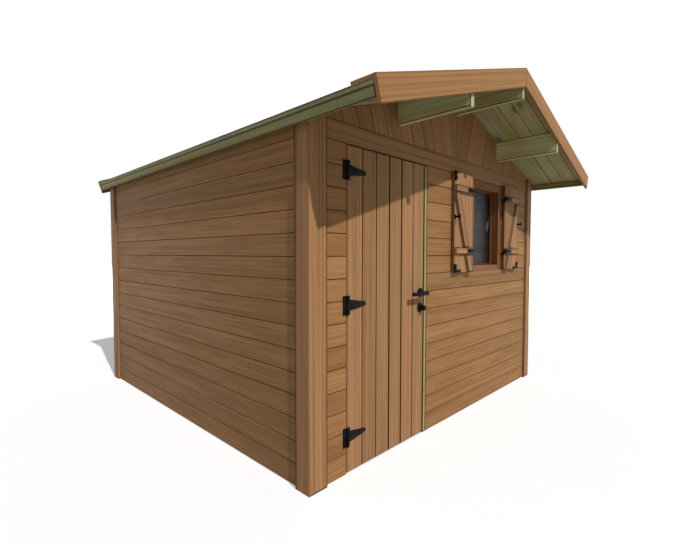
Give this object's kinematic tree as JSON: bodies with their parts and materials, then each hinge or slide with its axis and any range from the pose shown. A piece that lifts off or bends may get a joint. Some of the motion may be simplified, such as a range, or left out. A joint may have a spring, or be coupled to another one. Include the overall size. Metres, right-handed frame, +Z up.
{
  "type": "wooden garden shed",
  "caption": "Square plank garden shed with a low gable roof, deep front overhang, ledged door on strap hinges and a window with braced shutters.",
  "frame": {"origin": "on the ground under the middle of the roof's outline", "axes": "+Z up, -Y out of the door side, +X to the right seen from the front"},
  "size_m": [3.148, 3.61, 2.4894],
  "materials": {
    "stained_timber": "stained, sawn grain",
    "planks": "stained, planed grain",
    "gable_boards": "stained, planed grain",
    "treated_timber": "pressure treated, sawn",
    "roof_boards": "pressure treated, knotty",
    "roofing_felt": "mineral felt, matt",
    "trim_boards": "stained, planed grain",
    "brown_joinery": "dark varnish, satin",
    "glass": "clear, dark behind",
    "satin_metal": "satin",
    "black_iron": "black powder coat, satin",
    "door_boards": "stained, planed grain",
    "shutter_boards": "stained, planed grain"
  },
  "bodies": {
    "shed": {"front_posts": "stained_timber", "back_posts": "stained_timber", "left_wall": "planks", "right_wall": "planks", "back_wall": "planks", "front_wall_left": "planks", "front_wall_middle": "planks", "front_wall_right": "planks", "window_apron": "planks", "back_head_board": "stained_timber", "front_head_board": "stained_timber", "back_gable": "gable_boards", "front_gable": "gable_boards", "door_jambs": "treated_timber", "door_stops": "treated_timber", "ridge_purlin": "treated_timber", "ridge_block": "treated_timber", "side_purlins": "treated_timber", "roof_deck_left": "roof_boards", "roof_deck_right": "roof_boards", "roof_cover_left": "roofing_felt", "roof_cover_right": "roofing_felt", "eave_battens": "treated_timber", "bargeboards_left": "trim_boards", "bargeboards_right": "trim_boards", "verge_boards_left": "trim_boards", "verge_boards_right": "trim_boards", "window_frame": "brown_joinery", "window_sash": "brown_joinery", "window_glass": "glass", "window_handle": "satin_metal", "hinge_plates": "black_iron", "shutter_pintles": "black_iron"},
    "door": {"door_leaf": "door_boards", "door_ledges": "door_boards", "hinge_straps": "black_iron", "lock_plates": "black_iron"},
    "door_lever": {"lever": "black_iron"},
    "left_shutter": {"shutter_left": "shutter_boards", "shutter_left_battens": "shutter_boards", "shutter_left_ironwork": "black_iron"},
    "right_shutter": {"shutter_right": "shutter_boards", "shutter_right_battens": "shutter_boards", "shutter_right_ironwork": "black_iron"}
  },
  "joints": [
    {"name": "door_hinge", "type": "hinge", "parent": "shed", "child": "door", "pos_m": [-1.2035, -1.308, 0.966], "axis": [0, 0, -1], "range_deg": [0, 165]},
    {"name": "lever_turn", "type": "hinge", "parent": "door", "child": "door_lever", "pos_m": [-0.478, -1.289, 0.99], "axis": [0, -1, 0], "range_deg": [0, 40], "stiffness_Nm_per_rad": 2, "springref_deg": -34.38},
    {"name": "left_shutter_hinge", "type": "hinge", "parent": "shed", "child": "left_shutter", "pos_m": [0.227, -1.328, 1.49], "axis": [0, 0, 1], "range_deg": [0, 180]},
    {"name": "right_shutter_hinge", "type": "hinge", "parent": "shed", "child": "right_shutter", "pos_m": [0.827, -1.328, 1.49], "axis": [0, 0, -1], "range_deg": [0, 180]}
  ]
}
